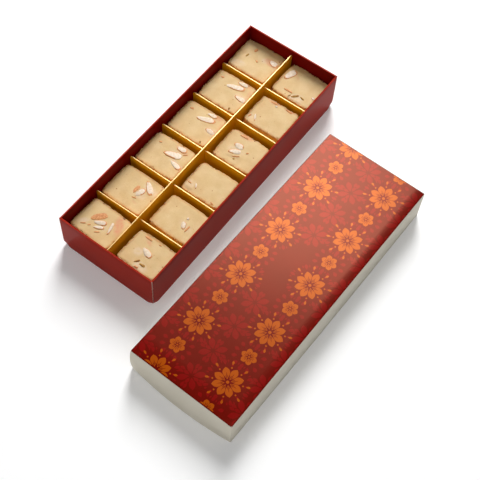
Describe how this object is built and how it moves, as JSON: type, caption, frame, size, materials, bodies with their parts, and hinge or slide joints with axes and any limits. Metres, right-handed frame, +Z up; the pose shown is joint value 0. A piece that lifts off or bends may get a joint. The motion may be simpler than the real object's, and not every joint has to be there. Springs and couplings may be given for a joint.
{
  "type": "box of barfi",
  "caption": "Shallow open tray of cut milk sweets with nuts, held in cells by a half-lapped grid of gold card, with its printed lift-off lid lying beside it.",
  "frame": {"origin": "middle of the tray's flat underside, on the surface that tray and lid stand on", "axes": "+X along the tray, +Y across it, away from the lid, +Z up"},
  "size_m": [0.2921, 0.2029, 0.038],
  "materials": {
    "tray_board": "satin",
    "lid_board": "satin",
    "foil_card": "gloss",
    "liner_foil": "satin",
    "barfi": "matte",
    "almond": "matte",
    "nut_bits": "matte"
  },
  "bodies": {
    "tray": {"tray": "tray_board", "base_liner": "liner_foil"},
    "lid": {"lid": "lid_board"},
    "cross_dividers": {"cross_divider_1": "foil_card", "cross_divider_2": "foil_card", "cross_divider_3": "foil_card", "cross_divider_4": "foil_card", "cross_divider_5": "foil_card"},
    "long_divider": {"long_divider": "foil_card"},
    "sweet_01": {"barfi_01": "barfi", "almonds_01": "almond", "nut_bits_01": "nut_bits"},
    "sweet_02": {"barfi_02": "barfi", "almonds_02": "almond", "nut_bits_02": "nut_bits"},
    "sweet_03": {"barfi_03": "barfi", "almonds_03": "almond", "nut_bits_03": "nut_bits"},
    "sweet_04": {"barfi_04": "barfi", "almonds_04": "almond", "nut_bits_04": "nut_bits"},
    "sweet_05": {"barfi_05": "barfi", "almonds_05": "almond", "nut_bits_05": "nut_bits"},
    "sweet_06": {"barfi_06": "barfi", "almonds_06": "almond", "nut_bits_06": "nut_bits"},
    "sweet_07": {"barfi_07": "barfi", "almonds_07": "almond", "nut_bits_07": "nut_bits"},
    "sweet_08": {"barfi_08": "barfi", "almonds_08": "almond", "nut_bits_08": "nut_bits"},
    "sweet_09": {"barfi_09": "barfi", "almonds_09": "almond", "nut_bits_09": "nut_bits"},
    "sweet_10": {"barfi_10": "barfi", "almonds_10": "almond", "nut_bits_10": "nut_bits"},
    "sweet_11": {"barfi_11": "barfi", "almonds_11": "almond", "nut_bits_11": "nut_bits"},
    "sweet_12": {"barfi_12": "barfi", "almonds_12": "almond", "nut_bits_12": "nut_bits"}
  },
  "joints": [
    {"name": "lid_lift", "type": "slide", "parent": "tray", "child": "lid", "axis": [0, 0, 1], "range_m": [0, 0.06]},
    {"name": "divider_lift", "type": "slide", "parent": "tray", "child": "cross_dividers", "axis": [0, 0, 1], "range_m": [0, 0.05]},
    {"name": "long_divider_lift", "type": "slide", "parent": "cross_dividers", "child": "long_divider", "axis": [0, 0, 1], "range_m": [0, 0.04]},
    {"name": "sweet_01_lift", "type": "slide", "parent": "tray", "child": "sweet_01", "axis": [0, 0, 1], "range_m": [0, 0.045]},
    {"name": "sweet_02_lift", "type": "slide", "parent": "tray", "child": "sweet_02", "axis": [0, 0, 1], "range_m": [0, 0.045]},
    {"name": "sweet_03_lift", "type": "slide", "parent": "tray", "child": "sweet_03", "axis": [0, 0, 1], "range_m": [0, 0.045]},
    {"name": "sweet_04_lift", "type": "slide", "parent": "tray", "child": "sweet_04", "axis": [0, 0, 1], "range_m": [0, 0.045]},
    {"name": "sweet_05_lift", "type": "slide", "parent": "tray", "child": "sweet_05", "axis": [0, 0, 1], "range_m": [0, 0.045]},
    {"name": "sweet_06_lift", "type": "slide", "parent": "tray", "child": "sweet_06", "axis": [0, 0, 1], "range_m": [0, 0.045]},
    {"name": "sweet_07_lift", "type": "slide", "parent": "tray", "child": "sweet_07", "axis": [0, 0, 1], "range_m": [0, 0.045]},
    {"name": "sweet_08_lift", "type": "slide", "parent": "tray", "child": "sweet_08", "axis": [0, 0, 1], "range_m": [0, 0.045]},
    {"name": "sweet_09_lift", "type": "slide", "parent": "tray", "child": "sweet_09", "axis": [0, 0, 1], "range_m": [0, 0.045]},
    {"name": "sweet_10_lift", "type": "slide", "parent": "tray", "child": "sweet_10", "axis": [0, 0, 1], "range_m": [0, 0.045]},
    {"name": "sweet_11_lift", "type": "slide", "parent": "tray", "child": "sweet_11", "axis": [0, 0, 1], "range_m": [0, 0.045]},
    {"name": "sweet_12_lift", "type": "slide", "parent": "tray", "child": "sweet_12", "axis": [0, 0, 1], "range_m": [0, 0.045]}
  ]
}
